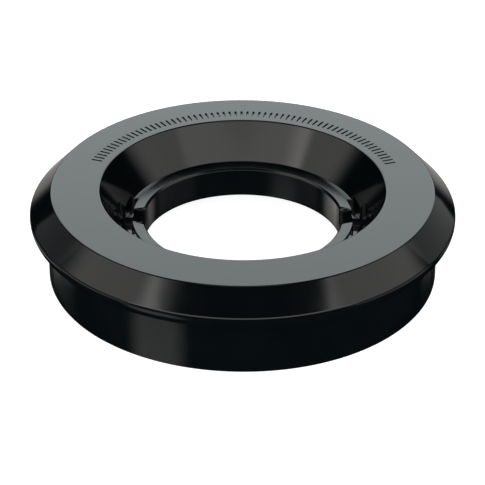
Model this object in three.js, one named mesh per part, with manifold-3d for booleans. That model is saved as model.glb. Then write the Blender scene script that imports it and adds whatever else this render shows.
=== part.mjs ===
// Drop-in splash cover for the throat of a food-waste disposer.
//
// Millimetres, +Z up. The origin is the centre of the circle that the skirt stands on,
// so the axis of the throat is the Z axis and the flat deck faces +Z. The front is -Y.
//
// Three mouldings: the shell (deck, sloping flange, funnel, hub), the skirt collar that is
// pushed up around the shell's register lip, and the throat ring that drops into the hub.
import * as THREE from 'three';
import { mergeVertices } from 'three/addons/utils/BufferGeometryUtils.js';
import Module from 'manifold-3d';

// ---------------------------------------------------------------- driving dimensions
const DECK_Z = 39; // height of the flat deck above the foot of the skirt
const DECK_R = 80.5; // outer edge of the deck
const MOUTH_R = 60.4; // inner edge of the deck, where the funnel starts
const EDGE_ROUND = 0.7; // softened edges of the mouldings
const WALL = 3.2; // thickness of the shell and of the skirt

const RIM_R = 89.8; // widest radius, at the foot of the flange's slope
const RIM_Z = 29.4; // where the slope ends
const RIM_LAND = 1.2; // short upright band below the slope
const RIM_FILLET = 5.2; // rounded lower edge of the flange
const SEAT_Z = RIM_Z - RIM_LAND - RIM_FILLET; // flat underside that rests on the disposer

const SKIRT_R = 82.6; // slides into a 6 5/8 inch throat
const FIT_GAP = 0.3; // clearance between pieces that touch

const FUNNEL_FOOT_R = 49.1;
const GUTTER_Z = 24.2; // narrow level gutter around the throat ring
const FOOT_FILLET = 0.6;

const RING_R = 46.8; // outside of the throat ring
const RING_TOP_Z = 24.8;
const RING_FLAT_R = 42.5; // inner edge of its level top
const BORE_R = 41.6;
const BORE_CHAMFER = 0.9; // height of the bevel between the level top and the bore
const BORE_FOOT_Z = 10.7;
const BORE_FOOT_ROUND = 2;
const SHOULDER_Z = 15; // ledge in the hub that carries the ring
const SHOULDER = 1.8; // width of that ledge

const HUB_FOOT_Z = 12;
const HUB_WALL = 3.2;
const LIP_FOOT_Z = 18; // register lip that the skirt collar goes around

const SLOT_WIDTH = 10.4; // two opposite slots through ring, gutter and funnel foot
const SLOT_FLOOR_Z = 17;
const SLOT_END_R = 52.8;
const SLOT_CORNER = 3;
const SLOT_WALL = 3; // walls of the pocket below each slot
const RECESS_HALF = 15; // where the gutter is sunk on both sides of each slot
const RECESS_FLOOR_Z = 20.6;
const RECESS_R = 50.2;

const RIB_COUNT = 8;
const RIB_THICKNESS = 2.4;
const EMBED = 1.5; // how far joined solids reach into each other

const TURNS = 72; // facets around the axis
const ARC_STEPS = 5;

// ---------------------------------------------------------------- small helpers
const wasm = await Module();
wasm.setup();

// Points of a circular arc, angles in degrees, end points included.
function arc(centreR, centreZ, radius, fromDeg, toDeg, steps = ARC_STEPS) {
  const points = [];
  for (let i = 0; i <= steps; i += 1) {
    const angle = THREE.MathUtils.degToRad(fromDeg + ((toDeg - fromDeg) * i) / steps);
    points.push([centreR + radius * Math.cos(angle), centreZ + radius * Math.sin(angle)]);
  }
  return points;
}

// A corner rounded by a short arc between two straight edges.
function roundedCorner(before, corner, after, radius, steps = 2) {
  const [p, c, q] = [before, corner, after].map(([r, z]) => new THREE.Vector2(r, z));
  const toBefore = p.clone().sub(c).normalize();
  const toAfter = q.clone().sub(c).normalize();
  const half = Math.acos(toBefore.dot(toAfter)) / 2;
  const start = c.clone().addScaledVector(toBefore, radius / Math.tan(half));
  const end = c.clone().addScaledVector(toAfter, radius / Math.tan(half));
  const centre = c.clone().addScaledVector(toBefore.add(toAfter).normalize(), radius / Math.sin(half));
  const points = [];
  for (let i = 0; i <= steps; i += 1) {
    const spoke = start.clone().lerp(end, i / steps).sub(centre).setLength(radius);
    points.push([centre.x + spoke.x, centre.y + spoke.y]);
  }
  return points;
}

// Turns a closed outline of [radius, height] points around the Z axis.
function turned(outline) {
  const points = [...outline, outline[0]].map(([r, z]) => new THREE.Vector2(r, z));
  return new THREE.LatheGeometry(points, TURNS).rotateX(Math.PI / 2);
}

// Extrudes an outline drawn in the upright plane through the axis, centred on that plane.
function uprightPlate(outline, thickness, turnDeg) {
  const shape = new THREE.Shape(outline.map(([r, z]) => new THREE.Vector2(r, z)));
  const plate = new THREE.ExtrudeGeometry(shape, { depth: thickness, bevelEnabled: false });
  plate.translate(0, 0, -thickness / 2).rotateX(Math.PI / 2);
  return plate.rotateZ(THREE.MathUtils.degToRad(turnDeg));
}

function toSolid(geometry) {
  const bare = geometry.clone();
  bare.deleteAttribute('normal');
  bare.deleteAttribute('uv');
  const merged = mergeVertices(bare, 1e-4);
  return new wasm.Manifold(new wasm.Mesh({
    numProp: 3,
    vertProperties: new Float32Array(merged.attributes.position.array),
    triVerts: new Uint32Array(merged.index.array),
  }));
}

function toGeometry(solid) {
  const mesh = solid.getMesh();
  const geometry = new THREE.BufferGeometry();
  geometry.setAttribute('position', new THREE.BufferAttribute(new Float32Array(mesh.vertProperties), 3));
  geometry.setIndex(new THREE.BufferAttribute(new Uint32Array(mesh.triVerts), 1));
  geometry.computeVertexNormals();
  return geometry;
}

// ---------------------------------------------------------------- the two slots
// Plan outline of one slot, running out along +X. Its outer end is rounded, and it flares
// with a round lip where it opens into the bore.
function slotOutline() {
  const half = SLOT_WIDTH / 2;
  const flareX = BORE_R - 0.6;
  const straightEnd = SLOT_END_R - SLOT_CORNER;
  const outline = new THREE.Shape();
  outline.moveTo(BORE_R - 6, -half - SLOT_CORNER);
  outline.lineTo(flareX, -half - SLOT_CORNER);
  outline.absarc(flareX + SLOT_CORNER, -half - SLOT_CORNER, SLOT_CORNER, Math.PI, Math.PI / 2, true);
  outline.absarc(straightEnd, -half + SLOT_CORNER, SLOT_CORNER, -Math.PI / 2, 0, false);
  outline.absarc(straightEnd, half - SLOT_CORNER, SLOT_CORNER, 0, Math.PI / 2, false);
  outline.absarc(flareX + SLOT_CORNER, half + SLOT_CORNER, SLOT_CORNER, -Math.PI / 2, -Math.PI, true);
  outline.lineTo(BORE_R - 6, half + SLOT_CORNER);
  outline.closePath();
  return outline;
}

function slotCutter(turnDeg) {
  const cutter = new THREE.ExtrudeGeometry(slotOutline(), {
    depth: DECK_Z - SLOT_FLOOR_Z,
    bevelEnabled: false,
    curveSegments: ARC_STEPS,
  });
  return toSolid(cutter.translate(0, 0, SLOT_FLOOR_Z).rotateZ(THREE.MathUtils.degToRad(turnDeg)));
}

function cutSlots(solid) {
  return solid.subtract(slotCutter(0)).subtract(slotCutter(180));
}

// The two stretches of gutter beside the slots, sunk below its level floor.
function gutterRecesses() {
  const [inner, top] = [RING_R - 2, GUTTER_Z + 2];
  const hoop = turned([
    [inner, RECESS_FLOOR_Z],
    [RECESS_R, RECESS_FLOOR_Z],
    [RECESS_R, top],
    [inner, top],
  ]);
  const reach = wasm.Manifold.cube([3 * RECESS_R, 2 * RECESS_HALF, 3 * DECK_Z], true);
  return toSolid(hoop).intersect(reach);
}

// ---------------------------------------------------------------- shell
const funnelSlope = (DECK_Z - GUTTER_Z) / (MOUTH_R - FUNNEL_FOOT_R);

// Height of the funnel's hidden back face at a radius: the visible face moved in by the wall.
function funnelBackZ(radius) {
  const wallDrop = WALL * Math.hypot(1, funnelSlope);
  return GUTTER_Z + (radius - FUNNEL_FOOT_R) * funnelSlope - wallDrop;
}

// The flange's seat starts outside a shallow rabbet that takes the top edge of the collar.
function shellOutline() {
  const hubInner = RING_R + FIT_GAP;
  const hubOuter = hubInner + HUB_WALL;
  const lipOuter = SKIRT_R - WALL - FIT_GAP;
  const lipInner = lipOuter - WALL;
  const deckBackZ = DECK_Z - WALL;
  const deckBackR = FUNNEL_FOOT_R + (deckBackZ - funnelBackZ(FUNNEL_FOOT_R)) / funnelSlope;
  const rimFoot = [RIM_R, RIM_Z - RIM_LAND];
  const rimTop = [RIM_R, RIM_Z];
  const deckEdge = [DECK_R, DECK_Z];
  const mouthEdge = [MOUTH_R, DECK_Z];
  const funnelFoot = [FUNNEL_FOOT_R, GUTTER_Z];
  const gutterEnd = [hubInner, GUTTER_Z];
  return [
    [lipOuter, SEAT_Z + FIT_GAP],
    [SKIRT_R + FIT_GAP, SEAT_Z + FIT_GAP],
    [SKIRT_R + FIT_GAP, SEAT_Z],
    ...arc(RIM_R - RIM_FILLET, SEAT_Z + RIM_FILLET, RIM_FILLET, -90, 0),
    ...roundedCorner(rimFoot, rimTop, deckEdge, EDGE_ROUND),
    ...roundedCorner(rimTop, deckEdge, mouthEdge, EDGE_ROUND),
    ...roundedCorner(deckEdge, mouthEdge, funnelFoot, EDGE_ROUND),
    ...roundedCorner(mouthEdge, funnelFoot, gutterEnd, FOOT_FILLET),
    gutterEnd,
    [hubInner, SHOULDER_Z],
    [hubInner - SHOULDER, SHOULDER_Z],
    [hubInner - SHOULDER, HUB_FOOT_Z],
    [hubOuter, HUB_FOOT_Z],
    [hubOuter, funnelBackZ(hubOuter)],
    [deckBackR, deckBackZ],
    [lipInner, deckBackZ],
    [lipInner, LIP_FOOT_Z],
    [lipOuter, LIP_FOOT_Z],
  ];
}

// One radial rib in the hollow below the deck, from the hub to the register lip.
function rib(turnDeg) {
  const hubMiddle = RING_R + FIT_GAP + HUB_WALL / 2;
  const lipMiddle = SKIRT_R - WALL - FIT_GAP - WALL / 2;
  const underDeck = DECK_Z - WALL + EMBED;
  const funnelR = FUNNEL_FOOT_R + (underDeck - GUTTER_Z) / funnelSlope + EMBED;
  return uprightPlate([
    [hubMiddle, HUB_FOOT_Z + 1],
    [lipMiddle, LIP_FOOT_Z + 1],
    [lipMiddle, underDeck],
    [funnelR, underDeck],
    [hubMiddle, funnelBackZ(hubMiddle) + EMBED],
  ], RIB_THICKNESS, turnDeg);
}

// The block below one slot that keeps the slot's pocket closed towards the hollow.
function slotPocket(turnDeg) {
  const innerX = RING_R + FIT_GAP + 0.5;
  const outerX = SLOT_END_R + SLOT_WALL;
  return uprightPlate([
    [innerX, SLOT_FLOOR_Z - SLOT_WALL],
    [outerX, SLOT_FLOOR_Z - SLOT_WALL],
    [outerX, funnelBackZ(outerX) + 2 * EMBED],
    [innerX, funnelBackZ(innerX) + 2 * EMBED],
  ], SLOT_WIDTH + 2 * SLOT_WALL, turnDeg);
}

function coverShell() {
  let solid = toSolid(turned(shellOutline()));
  for (let i = 0; i < RIB_COUNT; i += 1) {
    solid = solid.add(toSolid(rib(((i + 0.5) * 360) / RIB_COUNT)));
  }
  solid = solid.add(toSolid(slotPocket(0))).add(toSolid(slotPocket(180)));
  return toGeometry(cutSlots(solid.subtract(gutterRecesses())));
}

// ---------------------------------------------------------------- skirt collar
function skirtCollar() {
  const inner = SKIRT_R - WALL;
  const outline = [
    [inner, 0],
    ...roundedCorner([inner, 0], [SKIRT_R, 0], [SKIRT_R, SEAT_Z], EDGE_ROUND),
    [SKIRT_R, SEAT_Z],
    [inner, SEAT_Z],
  ];
  return turned(outline);
}

// ---------------------------------------------------------------- throat ring
function throatRing() {
  const stemR = RING_R - SHOULDER;
  const seat = SHOULDER_Z + FIT_GAP;
  const topOuter = [RING_R, RING_TOP_Z];
  const outline = [
    ...arc(BORE_R + BORE_FOOT_ROUND, BORE_FOOT_Z + BORE_FOOT_ROUND, BORE_FOOT_ROUND, 180, 270, 3),
    [stemR, BORE_FOOT_Z],
    [stemR, seat],
    [RING_R, seat],
    ...roundedCorner([RING_R, seat], topOuter, [RING_FLAT_R, RING_TOP_Z], EDGE_ROUND / 2),
    [RING_FLAT_R, RING_TOP_Z],
    [BORE_R, RING_TOP_Z - BORE_CHAMFER],
  ];
  return toGeometry(cutSlots(toSolid(turned(outline))));
}

// ---------------------------------------------------------------- assembly
function piece(name, geometry, color) {
  const material = new THREE.MeshStandardMaterial({ color, roughness: 0.18, metalness: 0 });
  const mesh = new THREE.Mesh(geometry, material);
  mesh.name = name;
  return mesh;
}

const cover = new THREE.Group();
cover.name = 'disposer_splash_cover';
cover.add(piece('cover_shell', coverShell(), 0x0d0e0f));
cover.add(piece('skirt_collar', skirtCollar(), 0x0d0e0f));
cover.add(piece('throat_ring', throatRing(), 0x0d0e0f));

export default cover;
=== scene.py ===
# %% [markdown]
# # A splash cover for a food-waste disposer
#
# The object is a round black plastic cover that drops into the throat of a kitchen disposer. Three
# mouldings make it: a shell (deck, sloping flange and funnel), a skirt collar below the flange, and a
# slotted ring in the throat. It is a small object with hardly any colour, so its look comes from two
# things: true rounds on every edge, and a glossy black skin that mirrors the studio.
#
# The sizes come from the imported model, which is loaded first so that each piece's box can be read.
# Loading it first gives the box that the looks must stay inside.

# %% Load the imported model
import math

import bmesh
import bpy
from mathutils import Euler, Matrix, Quaternion, Vector


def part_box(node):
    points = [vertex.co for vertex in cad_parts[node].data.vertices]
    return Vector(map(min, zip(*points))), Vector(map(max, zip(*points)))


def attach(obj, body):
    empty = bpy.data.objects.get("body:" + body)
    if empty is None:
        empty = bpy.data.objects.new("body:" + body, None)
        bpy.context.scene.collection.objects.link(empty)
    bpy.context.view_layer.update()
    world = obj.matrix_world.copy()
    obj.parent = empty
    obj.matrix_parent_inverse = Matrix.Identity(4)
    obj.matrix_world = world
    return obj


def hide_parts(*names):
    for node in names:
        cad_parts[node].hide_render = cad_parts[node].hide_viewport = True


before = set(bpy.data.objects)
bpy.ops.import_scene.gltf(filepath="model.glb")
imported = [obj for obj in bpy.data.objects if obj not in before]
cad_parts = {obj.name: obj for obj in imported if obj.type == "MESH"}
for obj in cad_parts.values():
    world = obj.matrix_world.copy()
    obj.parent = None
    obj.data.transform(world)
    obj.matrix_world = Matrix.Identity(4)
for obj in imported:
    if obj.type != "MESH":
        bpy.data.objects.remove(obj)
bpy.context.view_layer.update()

# %% [markdown]
# ## Sizes
#
# Lengths are kept in millimetres, the unit that the mouldings are drawn in, and one factor turns them
# into metres. Each piece's widest radius and its lowest and highest level are read from its box. The
# rest of the section is a handful of named values, with wall thicknesses and gaps typical of moulding.
# Two points nearer to each other than NEAR count as one.

# %% Sizes in millimetres
MM = 0.001
MILLILITRE = 1e-6
TURNS = 240
NEAR = 0.01


def levels(node):
    """Widest radius, foot and top of a round CAD piece, in millimetres."""
    low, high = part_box(node)
    return high.y / MM, low.z / MM, high.z / MM


rim_r, hub_foot_z, deck_z = levels("cover_shell")
skirt_r, skirt_foot_z, seat_z = levels("skirt_collar")
ring_r, ring_foot_z, ring_top_z = levels("throat_ring")
wall, gap = 3.2, 0.3
deck_r, mouth_r = 80.5, 60.4
rim_z, rim_fillet, rim_corner = 29.4, 5.2, 1.6
deck_edge, foot_fillet, mould_edge = 1.0, 0.6, 0.3
funnel_foot_r, gutter_z = 49.1, 24.2
bore_r, shoulder_z, lip_foot_z, ledge = 41.6, 15.0, 18.0, 1.8
funnel_slope = (deck_z - gutter_z) / (mouth_r - funnel_foot_r)
funnel_wall_drop = wall * math.hypot(1, funnel_slope)
print("rim", rim_r, "deck", deck_z, "skirt", skirt_r, "ring", ring_r, ring_foot_z, ring_top_z)

# %% [markdown]
# ## Camera
#
# A product like this is shot with a long lens from a little above, so that the circles become calm
# ellipses with hardly any perspective. The camera looks along +Y from 29 degrees above the deck. It is
# aimed below the deck's centre, which leaves more air above the cover than below it.

# %% Camera
CAMERA_DISTANCE = 0.926
CAMERA_ELEVATION = math.radians(28.97)
CAMERA_PITCH = math.radians(30.44)
CAMERA_ROLL = math.radians(0.3)
CAMERA_LENS, CAMERA_REACH = 163.3, 20
deck_centre = Vector((0, 0, deck_z * MM))
back_off = Vector((0, -math.cos(CAMERA_ELEVATION), math.sin(CAMERA_ELEVATION)))
camera = bpy.data.objects.new("camera", bpy.data.cameras.new("camera"))
bpy.context.scene.collection.objects.link(camera)
camera.location = deck_centre + CAMERA_DISTANCE * back_off
aim = Euler((math.pi / 2 - CAMERA_PITCH, 0, 0)).to_quaternion()
camera.rotation_euler = (aim @ Quaternion((0, 0, 1), CAMERA_ROLL)).to_euler()
camera.data.lens = CAMERA_LENS
camera.data.clip_end = CAMERA_REACH
bpy.context.scene.camera = camera
print("camera at", tuple(round(x, 3) for x in camera.location))

# %% [markdown]
# ## Turning a round piece
#
# All three pieces are round. On a screen a turned shape can be spun from half an outline, or grown ring
# by ring from a circle. Growing it was chosen, because every corner then stays a whole ring of edges
# that can be picked by its radius and height, and rounded on its own with the bevel tool. Broad rounds
# show their facets sooner than small ones, so they get more steps.

# %% Grow a body ring by ring
BROAD_ROUND, BROAD_STEPS, SMALL_STEPS = 2, 10, 4


def turned(name, outline):
    """A closed body of revolution from (radius, height) corners, each with an optional round."""
    bpy.ops.object.select_all(action="DESELECT")
    radius, height = outline[0][:2]
    bpy.ops.mesh.primitive_circle_add(vertices=TURNS, radius=radius * MM, location=(0, 0, height * MM))
    body = bpy.context.object
    body.name = body.data.name = name
    bpy.ops.object.transform_apply(location=True, rotation=True, scale=True)
    bpy.ops.object.mode_set(mode="EDIT")
    bpy.ops.mesh.select_all(action="SELECT")
    for next_radius, next_height in [corner[:2] for corner in outline[1:] + outline[:1]]:
        rise = (0, 0, (next_height - height) * MM)
        bpy.ops.mesh.extrude_edges_move(TRANSFORM_OT_translate={"value": rise})
        grow = next_radius / radius
        bpy.ops.transform.resize(value=(grow, grow, 1), center_override=(0, 0, next_height * MM))
        radius, height = next_radius, next_height
    bpy.ops.mesh.select_all(action="SELECT")
    bpy.ops.mesh.remove_doubles(threshold=NEAR * MM)
    bpy.ops.mesh.normals_make_consistent(inside=False)
    for index, corner in enumerate(outline):
        if len(corner) == 3:
            round_ring(outline, index)
    bpy.ops.object.mode_set(mode="OBJECT")
    return body


def pick_edges(wanted):
    """In edit mode, selects only the edges whose two ends, in millimetres, pass the test."""
    bpy.ops.mesh.select_mode(type="EDGE")
    bpy.ops.mesh.select_all(action="DESELECT")
    mesh = bpy.context.edit_object.data
    shape = bmesh.from_edit_mesh(mesh)
    for edge in shape.edges:
        edge.select_set(wanted(*[v.co / MM for v in edge.verts]))
    shape.select_flush_mode()
    bmesh.update_edit_mesh(mesh)


def round_ring(outline, index):
    """Rounds one corner ring to its radius: the bevel's width is the tangent length of that arc."""
    radius, height, fillet = outline[index]
    corner = Vector((radius, height))
    before = Vector(outline[index - 1][:2]) - corner
    after = Vector(outline[(index + 1) % len(outline)][:2]) - corner

    def on_ring(p):
        return math.hypot(p.x, p.y) - radius, p.z - height

    pick_edges(lambda a, b: max(map(abs, on_ring(a) + on_ring(b))) < 2 * NEAR)
    width = fillet / math.tan(before.angle(after) / 2)
    steps = BROAD_STEPS if fillet > BROAD_ROUND else SMALL_STEPS
    bpy.ops.mesh.bevel(offset=width * MM, segments=steps, profile=0.5, affect="EDGES")


# %% [markdown]
# ## Cutting, joining and softening
#
# Slots, ribs and marks are not round, so they are cut and joined with booleans. A fresh cut has razor
# edges, which no moulding has: a mould tool's edge always leaves a small round, and that round is what
# catches the light. A bevel modifier that works on sharp edges only gives every edge that round.

# %% Booleans and soft edges
SHARP_DEG, EDGE_STEPS = 30, 3


def combine(piece, tool, operation):
    """Cuts or joins a tool into a piece and throws the tool away."""
    modifier = piece.modifiers.new("combine", "BOOLEAN")
    modifier.solver = "EXACT"
    modifier.operation = operation
    modifier.object = tool
    apply_modifier(piece, modifier)
    bpy.data.objects.remove(tool)


def apply_modifier(piece, modifier):
    bpy.ops.object.select_all(action="DESELECT")
    piece.select_set(True)
    bpy.context.view_layer.objects.active = piece
    bpy.ops.object.modifier_apply(modifier=modifier.name)


def soften(piece, width):
    """Rounds every sharp edge by a width in millimetres."""
    modifier = piece.modifiers.new("soften", "BEVEL")
    modifier.limit_method = "ANGLE"
    modifier.angle_limit = math.radians(SHARP_DEG)
    modifier.width = width * MM
    modifier.segments = EDGE_STEPS
    modifier.use_clamp_overlap = False
    apply_modifier(piece, modifier)


def clean(piece):
    """Merges doubles and makes every face point outwards."""
    bpy.ops.object.select_all(action="DESELECT")
    piece.select_set(True)
    bpy.context.view_layer.objects.active = piece
    bpy.ops.object.mode_set(mode="EDIT")
    bpy.ops.mesh.select_all(action="SELECT")
    bpy.ops.mesh.remove_doubles(threshold=NEAR * MM)
    bpy.ops.mesh.dissolve_degenerate(threshold=NEAR * MM)
    bpy.ops.mesh.normals_make_consistent(inside=False)
    bpy.ops.object.mode_set(mode="OBJECT")


def report(piece):
    """Prints what was made, with the number of open or doubled edges, which should be 0."""
    shape = bmesh.new()
    shape.from_mesh(piece.data)
    bad = sum(not edge.is_manifold for edge in shape.edges)
    volume = shape.calc_volume(signed=True) / MILLILITRE
    shape.free()
    triangles = sum(len(face.vertices) - 2 for face in piece.data.polygons)
    size = [round(x / MM, 2) for x in piece.dimensions]
    print(piece.name, size, "mm", triangles, "triangles", round(volume, 1), "ml", bad, "bad edges")


# %% [markdown]
# ## Slot cutter
#
# Two opposite slots run from the bore through the ring and the gutter into the foot of the funnel. The
# same cutter makes both, in the ring and in the shell, so the two pieces always line up. It is a block
# whose inner end widens on a slant, a little beyond the bore's wall. Bevelling its four upright corners
# makes the outer end round, and lets the mouth open into the bore with a rounded lip.

# %% Slot cutter
SLOT_HALF, SLOT_END_R, SLOT_FLOOR_Z, SLOT_CORNER = 5.2, 52.8, 17.0, 3.0
MOUTH_HALF, MOUTH_SLANT, MOUTH_SETBACK, MOUTH_REACH = 8.9, 1.3, 0.15, 6
CORNER_STEPS = 8


def block(name, low, high):
    """A block between two corners in millimetres, as a start for shaping, left in edit mode."""
    bpy.ops.object.select_all(action="DESELECT")
    low, high = Vector(low) * MM, Vector(high) * MM
    bpy.ops.mesh.primitive_cube_add(size=1, location=(low + high) / 2, scale=high - low)
    piece = bpy.context.object
    piece.name = name
    bpy.ops.object.transform_apply(location=True, rotation=True, scale=True)
    bpy.ops.object.mode_set(mode="EDIT")
    return piece


def pick_faces(wanted):
    """In edit mode, selects only the faces whose centre, in millimetres, passes the test."""
    bpy.ops.mesh.select_mode(type="FACE")
    bpy.ops.mesh.select_all(action="DESELECT")
    mesh = bpy.context.edit_object.data
    shape = bmesh.from_edit_mesh(mesh)
    for face in shape.faces:
        face.select_set(wanted(face.calc_center_median() / MM))
    bmesh.update_edit_mesh(mesh)


def round_uprights(near_x, tangent):
    """In edit mode, rounds the cutter's two upright corners at an x."""
    pick_edges(
        lambda a, b: abs(a.z - b.z) > NEAR
        and abs(abs(a.y) - SLOT_HALF) < NEAR
        and abs(a.x - near_x) < NEAR
    )
    bpy.ops.mesh.bevel(offset=tangent * MM, segments=CORNER_STEPS, profile=0.5, affect="EDGES")


def slot_cutter(turn_deg):
    """The shape of one slot, with its round end outwards, turned about the axis."""
    mouth_x = math.sqrt(bore_r**2 - SLOT_HALF**2) + MOUTH_SETBACK
    slant = math.atan2(MOUTH_SLANT, MOUTH_HALF - SLOT_HALF)
    lip_tangent = SLOT_CORNER / math.tan((math.pi / 2 + slant) / 2)
    low, high = (mouth_x, -SLOT_HALF, SLOT_FLOOR_Z), (SLOT_END_R, SLOT_HALF, deck_z)
    cutter = block("slot_cutter", low, high)
    pick_faces(lambda c: c.x < mouth_x + NEAR)
    bpy.ops.mesh.extrude_region_move(TRANSFORM_OT_translate={"value": (-MOUTH_SLANT * MM, 0, 0)})
    bpy.ops.transform.resize(value=(1, MOUTH_HALF / SLOT_HALF, 1), center_override=(0, 0, 0))
    bpy.ops.mesh.extrude_region_move(TRANSFORM_OT_translate={"value": (-MOUTH_REACH * MM, 0, 0)})
    round_uprights(SLOT_END_R, SLOT_CORNER)
    round_uprights(mouth_x, lip_tangent)
    bpy.ops.object.mode_set(mode="OBJECT")
    clean(cutter)
    cutter.data.transform(Matrix.Rotation(math.radians(turn_deg), 4, "Z"))
    return cutter


def cut_slots(piece):
    for turn_deg in (0, 180):
        combine(piece, slot_cutter(turn_deg), "DIFFERENCE")


# %% [markdown]
# ## Skirt collar
#
# The skirt is a plain upright hoop. Its top sits in a shallow step under the flange, and only its foot
# has a round that shows. A hoop could be a thickened cylinder as well, but growing it keeps one way of
# making all round pieces.

# %% Skirt collar
SKIRT_FOOT_ROUND = 0.7
skirt = turned(
    "skirt_collar_moulding",
    [
        (skirt_r - wall, skirt_foot_z),
        (skirt_r, skirt_foot_z, SKIRT_FOOT_ROUND),
        (skirt_r, seat_z),
        (skirt_r - wall, seat_z),
    ],
)
soften(skirt, mould_edge)
clean(skirt)
report(skirt)

# %% [markdown]
# ## Throat ring
#
# The ring rests on a ledge inside the hub. Its level top stands just proud of the gutter and shows as a
# narrow bright band. The slots are cut first, and the inner edge is chamfered after them, so that the
# chamfer turns with the rounded lips of the slots, as it does on a part whose mould was machined in that
# order. The edges that are left get a smaller round than on the shell, because the band is narrow.
# Nothing is merged after that, since it would spoil the smallest faces of the rounds.

# %% Throat ring
RING_CHAMFER, RING_EDGE, RING_SOFT_EDGE, BORE_FOOT_ROUND = 0.9, 0.25, 0.15, 2.0
LIP_REACH = 3
ring = turned(
    "throat_ring_moulding",
    [
        (bore_r, ring_foot_z, BORE_FOOT_ROUND),
        (ring_r - ledge, ring_foot_z),
        (ring_r - ledge, shoulder_z + gap),
        (ring_r, shoulder_z + gap),
        (ring_r, ring_top_z, RING_EDGE),
        (bore_r, ring_top_z),
    ],
)
cut_slots(ring)
clean(ring)


def on_inner_edge(p):
    """Whether a point is on the top, next to the bore or to the rounded lip of a slot."""
    by_the_bore = math.hypot(p.x, p.y) < bore_r + LIP_REACH
    return abs(p.z - ring_top_z) < NEAR and by_the_bore and abs(p.y) > SLOT_HALF - NEAR


def on_slot_side(p):
    return abs(abs(p.y) - SLOT_HALF) < 2 * NEAR


bpy.ops.object.mode_set(mode="EDIT")
pick_edges(
    lambda a, b: on_inner_edge(a) and on_inner_edge(b) and not (on_slot_side(a) and on_slot_side(b))
)
bpy.ops.mesh.bevel(offset=RING_CHAMFER * MM, segments=1, affect="EDGES")
bpy.ops.object.mode_set(mode="OBJECT")
clean(ring)
report(ring)
soften(ring, RING_SOFT_EDGE)
report(ring)

# %% [markdown]
# ## Shell
#
# The shell is one moulding of even wall thickness. From the outside in: a rounded lower edge, a short
# upright land, the slope, the flat deck, the funnel and a narrow gutter. Behind them it is hollow, with
# a hub that holds the ring and a lip that the skirt goes around.


# %% Shell body
def funnel_back_z(radius):
    """Height of the funnel's hidden back at a radius."""
    return gutter_z + (radius - funnel_foot_r) * funnel_slope - funnel_wall_drop


hub_r = ring_r + gap
lip_r = skirt_r - wall - gap
deck_back_z = deck_z - wall
deck_back_r = funnel_foot_r + (deck_back_z - funnel_back_z(funnel_foot_r)) / funnel_slope
shell = turned(
    "cover_shell_moulding",
    [
        (lip_r, seat_z + gap),
        (skirt_r + gap, seat_z + gap),
        (skirt_r + gap, seat_z),
        (rim_r, seat_z, rim_fillet),
        (rim_r, rim_z, rim_corner),
        (deck_r, deck_z, deck_edge),
        (mouth_r, deck_z, deck_edge),
        (funnel_foot_r, gutter_z, foot_fillet),
        (hub_r, gutter_z),
        (hub_r, shoulder_z),
        (hub_r - ledge, shoulder_z),
        (hub_r - ledge, hub_foot_z),
        (hub_r + wall, hub_foot_z),
        (hub_r + wall, funnel_back_z(hub_r + wall)),
        (deck_back_r, deck_back_z),
        (lip_r - wall, deck_back_z),
        (lip_r - wall, lip_foot_z),
        (lip_r, lip_foot_z),
    ],
)
report(shell)

# %% [markdown]
# ## Ribs and pockets
#
# Under the deck, eight thin ribs stiffen the hollow, and a closed pocket sits below each slot. Both
# start as blocks. A bisect cut along the funnel's slope lets their tops end inside the funnel's wall, so
# that joining leaves clean corners.


# %% Ribs and pockets
def trim(point, normal):
    """In edit mode, cuts off all beyond a plane. Its point and its normal are given as (radius, height)."""
    bpy.ops.mesh.select_all(action="SELECT")
    bpy.ops.mesh.bisect(
        plane_co=(point[0] * MM, 0, point[1] * MM),
        plane_no=(normal[0], 0, normal[1]),
        use_fill=True,
        clear_outer=True,
    )


def under_funnel(low, high, foot_rise):
    """A block whose top follows the middle of the funnel's wall and whose foot rises outwards."""
    piece = block("stiffener", low, high)
    trim((funnel_foot_r, gutter_z - funnel_wall_drop / 2), (-funnel_slope, 1))
    if foot_rise:
        trim((low[0], low[2]), (foot_rise, low[0] - high[0]))
    bpy.ops.object.mode_set(mode="OBJECT")
    clean(piece)
    return piece


RIB_COUNT, RIB_HALF, RIB_SETBACK = 8, 1.2, 1
POCKET_WALL, POCKET_INSET = 3, 0.5
hub_middle, lip_middle = hub_r + wall / 2, lip_r - wall / 2
for index in range(RIB_COUNT):
    rib = under_funnel(
        (hub_middle, -RIB_HALF, hub_foot_z + RIB_SETBACK),
        (lip_middle, RIB_HALF, deck_back_z + wall / 2),
        lip_foot_z - hub_foot_z,
    )
    rib.data.transform(Matrix.Rotation(math.radians((index + 0.5) * 360 / RIB_COUNT), 4, "Z"))
    combine(shell, rib, "UNION")
for turn_deg in (0, 180):
    pocket_half = SLOT_HALF + POCKET_WALL
    pocket = under_funnel(
        (hub_r + POCKET_INSET, -pocket_half, SLOT_FLOOR_Z - POCKET_WALL),
        (SLOT_END_R + POCKET_WALL, pocket_half, deck_back_z),
        0,
    )
    pocket.data.transform(Matrix.Rotation(math.radians(turn_deg), 4, "Z"))
    combine(shell, pocket, "UNION")
report(shell)

# %% [markdown]
# ## Sunk gutter beside the slots
#
# For a short way on both sides of each slot the gutter lies deeper, so that it is dark there except for
# a few glints. The sunk stretch could be a block, but its walls follow the ring and the funnel's foot.
# The cutter is therefore a piece of hoop: a whole one is turned, and only what a block covers is kept.
# It runs a little past the ring's edge and above the gutter, so that no cut face lies on another face.

# %% Sunk gutter beside the slots
RECESS_HALF, RECESS_FLOOR_Z, RECESS_R, OVERRUN = 15.0, 20.6, 50.2, 2


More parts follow.
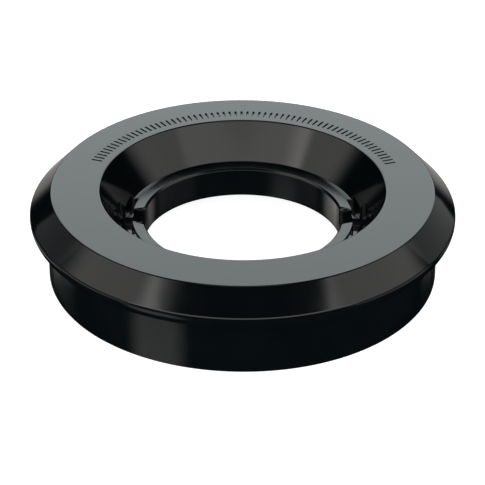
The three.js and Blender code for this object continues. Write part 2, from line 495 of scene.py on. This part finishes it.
def recess_cutter(turn_deg):
    """A stretch of hoop between the ring and the funnel's foot, as long as the sunk part."""
    hoop = turned(
        "recess_cutter",
        [
            (ring_r - OVERRUN, RECESS_FLOOR_Z),
            (RECESS_R, RECESS_FLOOR_Z),
            (RECESS_R, gutter_z + OVERRUN),
            (ring_r - OVERRUN, gutter_z + OVERRUN),
        ],
    )
    reach = block("reach", (0, -RECESS_HALF, 0), (RECESS_R + OVERRUN, RECESS_HALF, deck_z))
    bpy.ops.object.mode_set(mode="OBJECT")
    combine(hoop, reach, "INTERSECT")
    hoop.data.transform(Matrix.Rotation(math.radians(turn_deg), 4, "Z"))
    return hoop


for turn_deg in (0, 180):
    combine(shell, recess_cutter(turn_deg), "DIFFERENCE")
cut_slots(shell)
clean(shell)
report(shell)
soften(shell, mould_edge)
clean(shell)
report(shell)

# %% [markdown]
# ## Marks on the deck
#
# The deck carries a shallow engraved band along its back. Here it is a plain row of short radial bars,
# which says nothing, and still breaks the light as fine moulded marks do. One bar is made as a block
# whose walls taper inwards, as a mould's marks do so that the part lets go, with round ends. It is
# copied around the axis, and the joined bars are cut into the deck together.

# %% Marks on the deck
MARK_COUNT, MARK_FROM_DEG, MARK_TO_DEG = 64, 18.5, 160.5
MARK_R, MARK_LENGTH, MARK_WIDTH, MARK_DEPTH = 66.5, 5.0, 1.0, 0.6
MARK_ROUND, MARK_STEPS = 0.4, 3
END_TAPER, SIDE_TAPER = 0.07, 0.45


def mark_cutter():
    """One bar on +X, reaching as far above the deck as below it, and wider above."""
    cutter = block(
        "mark",
        (MARK_R - MARK_LENGTH / 2, -MARK_WIDTH / 2, deck_z - MARK_DEPTH),
        (MARK_R + MARK_LENGTH / 2, MARK_WIDTH / 2, deck_z + MARK_DEPTH),
    )
    pick_edges(lambda a, b: abs(a.z - b.z) > MARK_DEPTH)
    bpy.ops.mesh.bevel(offset=MARK_ROUND * MM, segments=MARK_STEPS, profile=0.5, affect="EDGES")
    centre = (MARK_R * MM, 0, deck_z * MM)
    pick_faces(lambda c: c.z < deck_z - MARK_DEPTH + NEAR)
    bpy.ops.transform.resize(value=(1 - END_TAPER, 1 - SIDE_TAPER, 1), center_override=centre)
    pick_faces(lambda c: c.z > deck_z + MARK_DEPTH - NEAR)
    bpy.ops.transform.resize(value=(1 + END_TAPER, 1 + SIDE_TAPER, 1), center_override=centre)
    bpy.ops.object.mode_set(mode="OBJECT")
    return cutter


marks = [mark_cutter()]
while len(marks) < MARK_COUNT:
    copy = marks[0].copy()
    copy.data = marks[0].data.copy()
    bpy.context.scene.collection.objects.link(copy)
    marks.append(copy)
for index, mark in enumerate(marks):
    turn_deg = MARK_FROM_DEG + (MARK_TO_DEG - MARK_FROM_DEG) * index / (MARK_COUNT - 1)
    mark.data.transform(Matrix.Rotation(math.radians(turn_deg), 4, "Z"))
bpy.ops.object.select_all(action="DESELECT")
for mark in marks:
    mark.select_set(True)
bpy.context.view_layer.objects.active = marks[0]
bpy.ops.object.join()
combine(shell, marks[0], "DIFFERENCE")
clean(shell)
report(shell)

# %% [markdown]
# ## Smooth shading
#
# The round faces should look round and the flat ones flat. Shading by angle smooths across the small
# facets only. Weighted normals then let the large faces win at their borders, so that the wide deck
# stays one flat mirror right up to its rounded edge.

# %% Smooth shading
SMOOTH_DEG, LARGE_FACE_WEIGHT = 35, 60
pieces = [shell, skirt, ring]
for piece in pieces:
    bpy.ops.object.select_all(action="DESELECT")
    piece.select_set(True)
    bpy.context.view_layer.objects.active = piece
    bpy.ops.object.shade_smooth_by_angle(angle=math.radians(SMOOTH_DEG))
    weighted = piece.modifiers.new("weighted", "WEIGHTED_NORMAL")
    weighted.keep_sharp = True
    weighted.weight = LARGE_FACE_WEIGHT
    apply_modifier(piece, weighted)
print("smoothed", [piece.name for piece in pieces])

# %% [markdown]
# ## Gloss black plastic
#
# The real finish is black ABS, injection moulded in a polished tool. The pigment leaves almost no
# colour: a blue-black so dark that what one sees is the studio mirrored in the clear top of the plastic,
# at the 4% or so that an IOR of 1.5 gives, rising at grazing angles. Two things keep it from looking
# like glass. The surface has a very faint ripple, some 12 mm long, where the plastic shrank as it
# cooled, and a fine grain under half a millimetre that makes the mirror image a little soft. The ring has
# a duller, satin finish, which turns its mirror images into an even glow along the band.

# %% Colours and nodes
MIX_A, MIX_B, MIX_RESULT = 6, 7, 2  # the colour sockets of a mix node, by place


def linear(hex_colour):
    """An sRGB hex colour as linear RGBA."""
    channels = [int(hex_colour[i : i + 2], 16) / 255 for i in (1, 3, 5)]
    curved = [c / 12.92 if c <= 0.04045 else ((c + 0.055) / 1.055) ** 2.4 for c in channels]
    return (*curved, 1)


def add(tree, kind, settings=None, inputs=None):
    """Adds a node: settings are its properties, and inputs are values, or sockets to link from."""
    node = tree.nodes.new(kind)
    for name, value in (settings or {}).items():
        setattr(node, name, value)
    for name, value in (inputs or {}).items():
        if isinstance(value, bpy.types.NodeSocket):
            tree.links.new(value, node.inputs[name])
        else:
            node.inputs[name].default_value = value
    return node


# %% Gloss black plastic
BLOTCH_LENGTH, RIPPLE_LENGTH, GRAIN_LENGTH, RIPPLE_DEPTH = 18, 12, 0.4, 0.02
BLOTCH_LOW, BLOTCH_HIGH = 0.3, 0.7
PIGMENT = ("#05090b", "#0a0f11")
PLASTIC_IOR = 1.5


def noise(tree, place, length, **settings):
    """Noise whose features are about as long as a length in millimetres."""
    inputs = {"Vector": place, "Scale": 1 / (length * MM), **settings}
    return add(tree, "ShaderNodeTexNoise", inputs=inputs).outputs["Fac"]


def moulded_plastic(name, roughness, grain_depth):
    """Black ABS. Its roughness is given as (least, most), and the depth of its grain in millimetres."""
    material = bpy.data.materials.new(name)
    material.use_nodes = True
    tree = material.node_tree
    shader = tree.nodes["Principled BSDF"]
    shader.inputs["IOR"].default_value = PLASTIC_IOR
    shader.inputs["Metallic"].default_value = 0
    place = add(tree, "ShaderNodeTexCoord").outputs["Object"]
    blotches = noise(tree, place, BLOTCH_LENGTH, Detail=3, Roughness=0.55)
    ripple = noise(tree, place, RIPPLE_LENGTH, Detail=1)
    grain = noise(tree, place, GRAIN_LENGTH, Detail=2)
    finish = add(
        tree,
        "ShaderNodeMapRange",
        inputs={"Value": blotches, "From Min": BLOTCH_LOW, "From Max": BLOTCH_HIGH,
                "To Min": roughness[0], "To Max": roughness[1]},
    )
    tint = add(
        tree,
        "ShaderNodeMix",
        {"data_type": "RGBA"},
        {"Factor": blotches, MIX_A: linear(PIGMENT[0]), MIX_B: linear(PIGMENT[1])},
    )
    soft_bump = add(
        tree,
        "ShaderNodeBump",
        inputs={"Height": ripple, "Strength": 1, "Distance": RIPPLE_DEPTH * MM},
    )
    fine_bump = add(
        tree,
        "ShaderNodeBump",
        inputs={"Height": grain, "Strength": 1, "Distance": grain_depth * MM,
                "Normal": soft_bump.outputs["Normal"]},
    )
    tree.links.new(tint.outputs[MIX_RESULT], shader.inputs["Base Color"])
    tree.links.new(finish.outputs["Result"], shader.inputs["Roughness"])
    tree.links.new(fine_bump.outputs["Normal"], shader.inputs["Normal"])
    return material


# Polished gives the eye clear mirror images with slightly wandering edges; satin gives it a soft glow.
polished = moulded_plastic("polished_black_abs", (0.07, 0.11), 0.001)
satin = moulded_plastic("satin_black_abs", (0.16, 0.22), 0.006)
for piece, finish in ((shell, polished), (skirt, polished), (ring, satin)):
    piece.data.materials.clear()
    piece.data.materials.append(finish)
print("finishes", polished.name, satin.name)

# %% [markdown]
# ## Studio
#
# Gloss black has no look of its own, so the lights are shaped for what the cover mirrors. Lamps with a
# shape have hard edges, and their mirror images would too. The softboxes are therefore drawn on the
# world around the cover, each by its direction, its size in degrees and the width of its soft edge, as a
# cloth-covered softbox fades towards its frame. The flat deck mirrors a low panel behind the cover. The
# funnel's back mirrors a wide softbox in front, the slope mirrors one on each side, and low white cards
# put a quiet glow on the skirt. The throat's cards and glows are named after the side of its wall that
# mirrors them, so they stand on the other side.

# %% Directions around the cover
world = bpy.data.worlds.new("studio")
bpy.context.scene.world = world
world.use_nodes = True
sky = world.node_tree
direction = add(sky, "ShaderNodeTexCoord").outputs["Object"]
towards = add(sky, "ShaderNodeSeparateXYZ", inputs={0: direction})
sides = {0: towards.outputs["Y"], 1: towards.outputs["X"]}
compass = add(sky, "ShaderNodeMath", {"operation": "ARCTAN2"}, sides).outputs[0]
height = add(sky, "ShaderNodeMath", {"operation": "ARCSINE"}, {0: towards.outputs["Z"]}).outputs[0]
print("directions from", direction.name, "coordinates")


# %% Softboxes and cards
def figure(operation, *values):
    """A math node's result in the sky."""
    return add(sky, "ShaderNodeMath", {"operation": operation}, dict(enumerate(values))).outputs[0]


def inside(angle, centre, half, edge):
    """1 within half of the centre angle and 0 beyond it, with a soft edge. All are in degrees."""
    off_centre = figure("SUBTRACT", angle, math.radians(centre))
    off_centre = figure("ABSOLUTE", figure("WRAP", off_centre, math.pi, -math.pi))
    fade = add(
        sky,
        "ShaderNodeMapRange",
        {"interpolation_type": "SMOOTHSTEP"},
        {"Value": off_centre, "From Min": math.radians(half - edge),
         "From Max": math.radians(half + edge), "To Min": 1, "To Max": 0},
    )
    return fade.outputs["Result"]


def softbox(light, bearing, rise, half_size, edge, radiance, colour):
    """Adds a softbox to the light so far. Its bearing counts from +X and its rise from level."""
    across = inside(compass, bearing, half_size[0], edge[0])
    up = inside(height, rise, half_size[1], edge[1])
    shape = figure("MULTIPLY", across, up)
    glow = (*(radiance * channel for channel in linear(colour)[:3]), 1)
    total = add(
        sky,
        "ShaderNodeMix",
        {"data_type": "RGBA", "blend_type": "ADD"},
        {"Factor": shape, MIX_A: light, MIX_B: glow},
    )
    return total.outputs[MIX_RESULT]


COOL, NEUTRAL = "#f5feff", "#fffcf9"
# Name: bearing, rise, (half width, half height), (side edge, top edge) in degrees, radiance, colour.
SOFTBOXES = {
    "back panel": (90, 29, (34, 17), (6, 4), 2.2, COOL),
    "front softbox": (-90.5, 32.3, (62.5, 16.3), (5, 1), 1.7, NEUTRAL),
    "left softbox": (-169, 42, (28, 18), (11, 6), 1.15, NEUTRAL),
    "right softbox": (-3, 39, (25, 15), (5, 5), 1.16, NEUTRAL),
    "low back card": (92, -17, (28, 11), (6, 4), 0.42, NEUTRAL),
    "low left card": (-141, -41, (15, 10), (7, 2), 0.6, NEUTRAL),
    "left strip": (-173, -9, (24, 9), (8, 4), 0.85, NEUTRAL),
    "right strip": (-8, -9, (24, 9), (8, 4), 0.8, NEUTRAL),
    "right throat card": (138, -28.5, (17, 2), (6, 1), 1.1, NEUTRAL),
    "left throat card": (50, -28.5, (9, 2), (4, 1), 0.5, NEUTRAL),
    "right throat glow": (-159, -28.5, (30, 2), (6, 1), 0.16, NEUTRAL),
    "left throat glow": (-1, -28.5, (30, 2), (6, 1), 0.16, NEUTRAL),
}
light = (0.0, 0.0, 0.0, 1.0)
for settings in SOFTBOXES.values():
    light = softbox(light, *settings)
print("softboxes", ", ".join(SOFTBOXES))

# %% [markdown]
# ## Cards beside the cover
#
# Three area lamps join what is drawn on the world. A small white card on each side is close and low, so
# the slope sees it and the funnel, inside the deck, doesn't: that keeps the funnel's ends black. A card
# drawn on the world would be seen by both. A faint overhead softbox is there for a view from above.


# %% Cards beside the cover
def card(name, place, away, size, radiance):
    """An area lamp with its back turned to a direction. Its place and size are in millimetres."""
    lamp_data = bpy.data.lights.new(name, "AREA")
    lamp_data.shape = "RECTANGLE"
    lamp_data.size, lamp_data.size_y = size[0] * MM, size[1] * MM
    # A flat lamp's power is pi times its area times its radiance, which is how bright its image looks.
    lamp_data.energy = math.pi * lamp_data.size * lamp_data.size_y * radiance
    lamp = bpy.data.objects.new(name, lamp_data)
    bpy.context.scene.collection.objects.link(lamp)
    lamp.location = Vector(place) * MM
    lamp.rotation_euler = Vector(away).to_track_quat("Z", "Y").to_euler()
    lamp.visible_camera = False
    return lamp


lamps = [
    card("right_card", (165, 55, 58), (1, 0, 0), (130, 56), 0.38),
    card("left_card", (-165, 22, 67), (-1, 0, 0), (76, 46), 0.19),
    card("overhead_softbox", (0, 0, 1200), (0, 0, 1), (500, 500), 0.6),
]
print("cards", [lamp.name for lamp in lamps])

# %% [markdown]
# ## Floor and surroundings
#
# The cover stands on a pale paper sweep that runs into a white background. The paper glows by itself on
# top of the light it catches, casts no shadow and stays out of the mirror images, so it comes out an even
# white. The camera sees plain white beyond it, and everything else is lit by the softboxes.

# %% Floor and surroundings
FLOOR_METRES, PAPER, PAPER_ROUGHNESS, PAPER_GLOW = 6, "#d8d8d8", 0.9, 0.93
WHITE = (1, 1, 1, 1)
bpy.ops.object.select_all(action="DESELECT")
bpy.ops.mesh.primitive_plane_add(size=FLOOR_METRES, location=(0, 0, 0))
floor = bpy.context.object
floor.name = "studio_floor"
paper = bpy.data.materials.new("white_paper_sweep")
paper.use_nodes = True
paper_shader = paper.node_tree.nodes["Principled BSDF"]
paper_shader.inputs["Base Color"].default_value = linear(PAPER)
paper_shader.inputs["Roughness"].default_value = PAPER_ROUGHNESS
paper_shader.inputs["Specular IOR Level"].default_value = 0
paper_shader.inputs["Emission Color"].default_value = WHITE
paper_shader.inputs["Emission Strength"].default_value = PAPER_GLOW
floor.data.materials.append(paper)
floor.visible_glossy = False
floor.visible_shadow = False

seen = add(
    sky,
    "ShaderNodeMix",
    {"data_type": "RGBA"},
    {"Factor": add(sky, "ShaderNodeLightPath").outputs["Is Camera Ray"], MIX_A: light, MIX_B: WHITE},
)
sky.links.new(seen.outputs[MIX_RESULT], sky.nodes["Background"].inputs["Color"])
bpy.context.scene.view_settings.view_transform = "Standard"
print("floor", floor.name, "paper", paper.name)

# %% [markdown]
# ## Riding on the body
#
# Each moulding rides on the one body and stands for its CAD node, which is hidden.

# %% Ride and replace
for piece, node in ((shell, "cover_shell"), (skirt, "skirt_collar"), (ring, "throat_ring")):
    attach(piece, "root")
    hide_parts(node)
